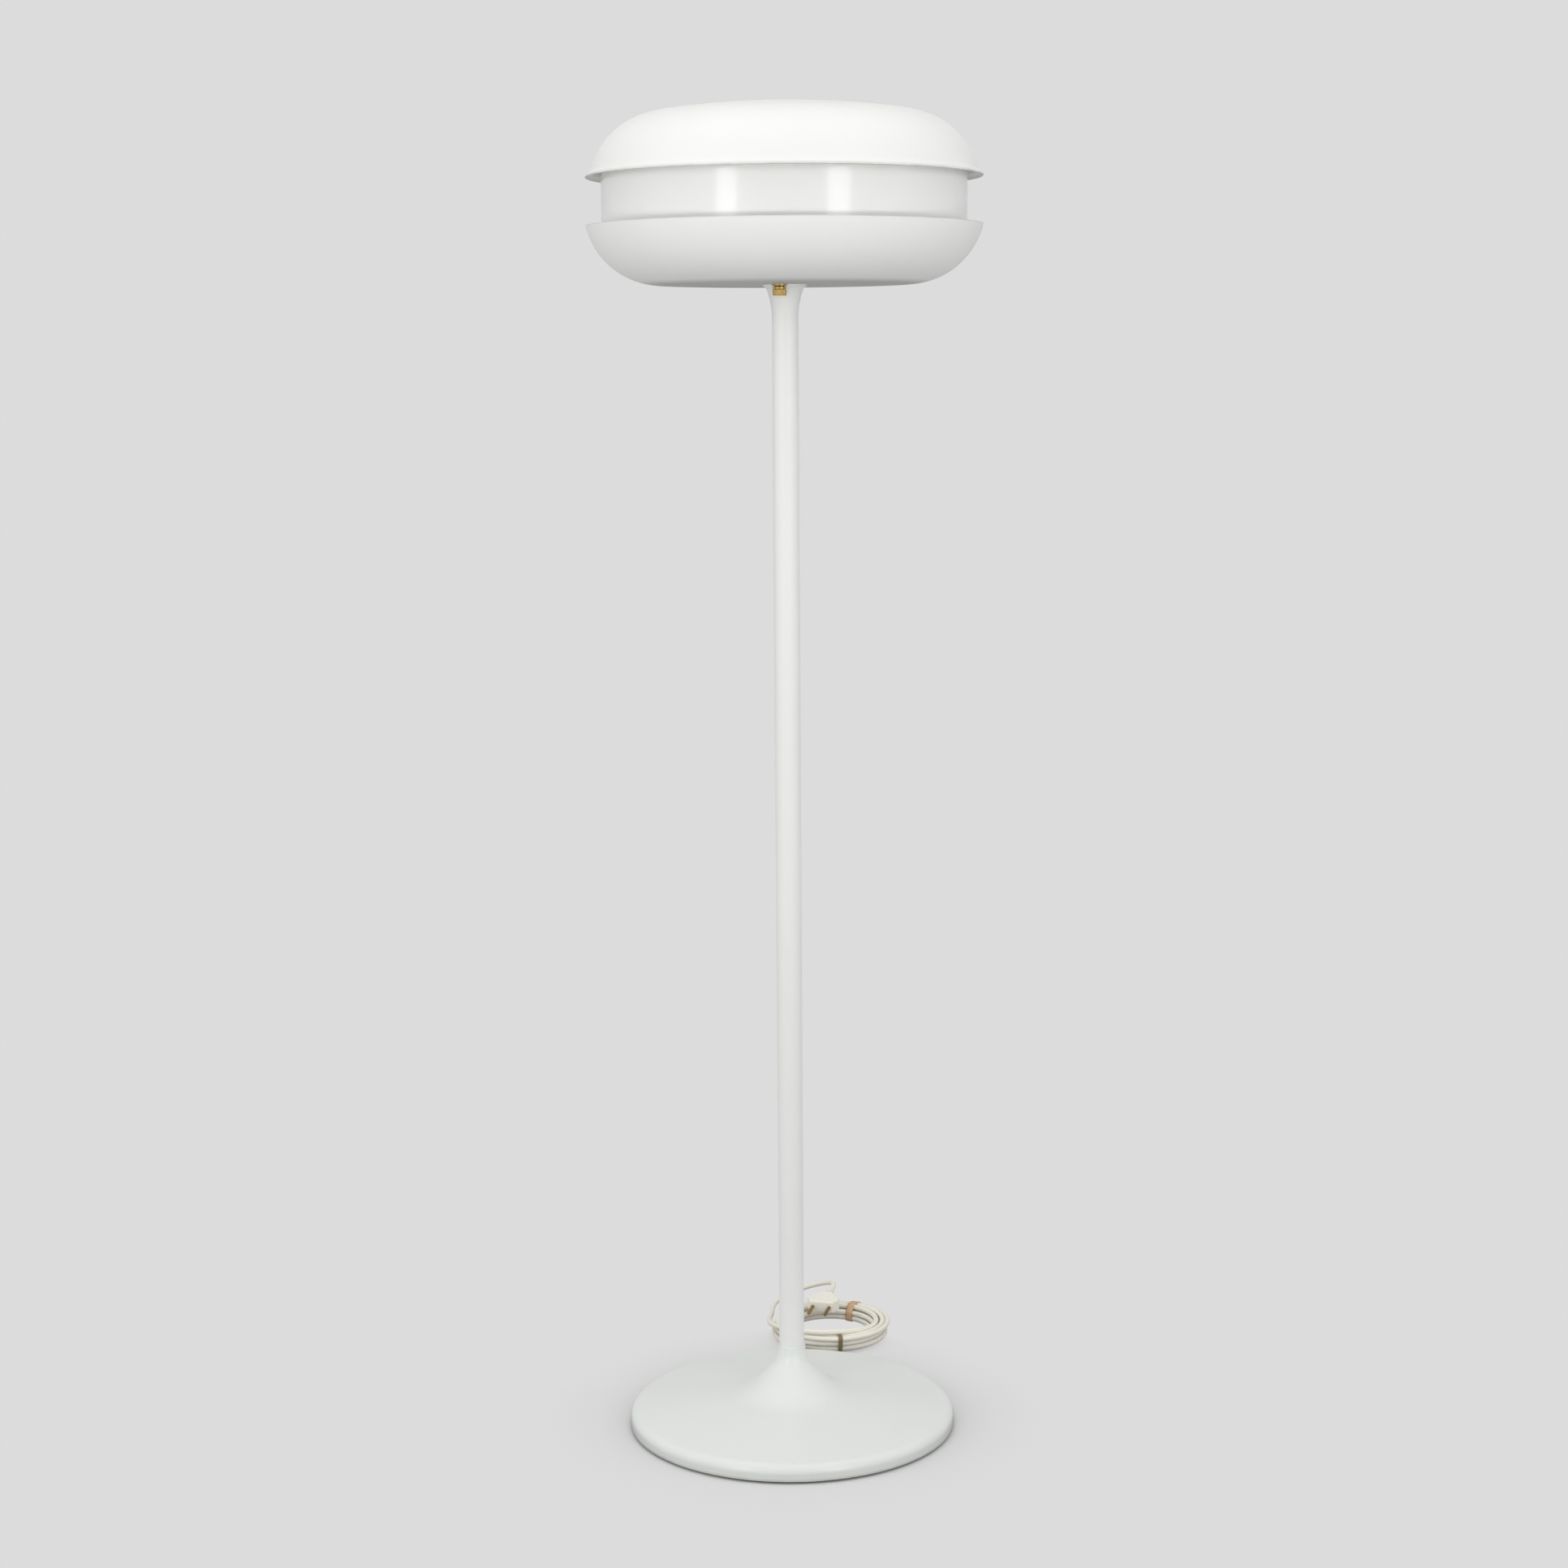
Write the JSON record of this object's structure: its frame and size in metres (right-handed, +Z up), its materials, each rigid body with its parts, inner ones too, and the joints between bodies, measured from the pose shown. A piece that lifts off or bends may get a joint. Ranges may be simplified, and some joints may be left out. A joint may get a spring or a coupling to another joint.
{
  "type": "floor lamp",
  "caption": "Tall mushroom-shaped floor lamp: shallow dome over a translucent drum and a bowl, on a slim stem with a flared disc base and a cord coiled behind it.",
  "frame": {"origin": "on the floor, in the middle of the round base, under the stem", "axes": "+Z up along the stem, -Y the side seen in the picture, +X to the right in it; the cord lies behind the base, towards +Y"},
  "size_m": [0.3764, 0.557, 1.3],
  "materials": {
    "lamp_paint": "satin off-white enamel",
    "opal_plastic": "glossy ivory opal acrylic",
    "iron": "raw casting",
    "zinc_steel": "zinc plated",
    "felt": "dark felt",
    "cord_plastic": "ivory cord and plug plastic",
    "tie_plastic": "tan tie strip",
    "brass": "plain, slightly dulled",
    "socket_plastic": "black moulded",
    "porcelain": "porcelain white",
    "bulb_glass": "clear glass",
    "cap_metal": "plain threaded shell",
    "wire_plastic": "insulated wire"
  },
  "bodies": {
    "stand": {"base_nut": "zinc_steel", "base_shell": "lamp_paint", "base_washer": "zinc_steel", "base_weight": "iron", "bottom_cover": "zinc_steel", "bowl_lugs": "zinc_steel", "bowl_shell": "lamp_paint", "bowl_washer": "zinc_steel", "cord_boot": "cord_plastic", "cord_coil": "cord_plastic", "cord_lead": "cord_plastic", "cord_tail": "cord_plastic", "cord_ties": "tie_plastic", "cover_screws": "zinc_steel", "felt_ring": "felt", "hub_box": "zinc_steel", "hub_lid": "zinc_steel", "hub_nut": "zinc_steel", "hub_spacer": "zinc_steel", "inner_lead": "cord_plastic", "lid_screws": "zinc_steel", "neck_flare": "lamp_paint", "neck_nipple": "zinc_steel", "plug_body": "cord_plastic", "plug_pins": "brass", "plug_sleeve": "cord_plastic", "socket_contact_1": "brass", "socket_contact_2": "brass", "socket_contact_3": "brass", "socket_core_1": "porcelain", "socket_core_2": "porcelain", "socket_core_3": "porcelain", "socket_liner_1": "brass", "socket_liner_2": "brass", "socket_liner_3": "brass", "socket_nipples": "zinc_steel", "socket_shell_1": "socket_plastic", "socket_shell_2": "socket_plastic", "socket_shell_3": "socket_plastic", "stem_collar": "lamp_paint", "stem_plug": "zinc_steel", "stem_tube": "lamp_paint", "switch_body": "socket_plastic", "switch_ring_nut": "brass", "switch_wires": "wire_plastic", "tail_tube": "zinc_steel", "terminal_block": "socket_plastic"},
    "bulb_1": {"bulb_cap_1": "cap_metal", "bulb_glass_1": "bulb_glass"},
    "bulb_2": {"bulb_cap_2": "cap_metal", "bulb_glass_2": "bulb_glass"},
    "bulb_3": {"bulb_cap_3": "cap_metal", "bulb_glass_3": "bulb_glass"},
    "diffuser": {"diffuser_drum": "opal_plastic"},
    "dome": {"dome_lugs": "zinc_steel", "dome_shell": "lamp_paint"},
    "knob": {"switch_knob": "brass"}
  },
  "joints": [
    {"name": "knob_turn", "type": "hinge", "parent": "stand", "child": "knob", "pos_m": [-0.005, -0.03, 1.1236], "axis": [0, 0, 1], "continuous": true},
    {"name": "diffuser_lift", "type": "slide", "parent": "stand", "child": "diffuser", "axis": [0, 0, 1], "range_m": [0, 0.1]},
    {"name": "dome_lift", "type": "slide", "parent": "diffuser", "child": "dome", "axis": [0, 0, 1], "range_m": [0, 0.1]},
    {"name": "bulb_1_out", "type": "slide", "parent": "stand", "child": "bulb_1", "axis": [0, 1, 0], "range_m": [0, 0.025]},
    {"name": "bulb_2_out", "type": "slide", "parent": "stand", "child": "bulb_2", "axis": [-0.866, -0.5, 0], "range_m": [0, 0.025]},
    {"name": "bulb_3_out", "type": "slide", "parent": "stand", "child": "bulb_3", "axis": [0.866, -0.5, 0], "range_m": [0, 0.025]}
  ]
}
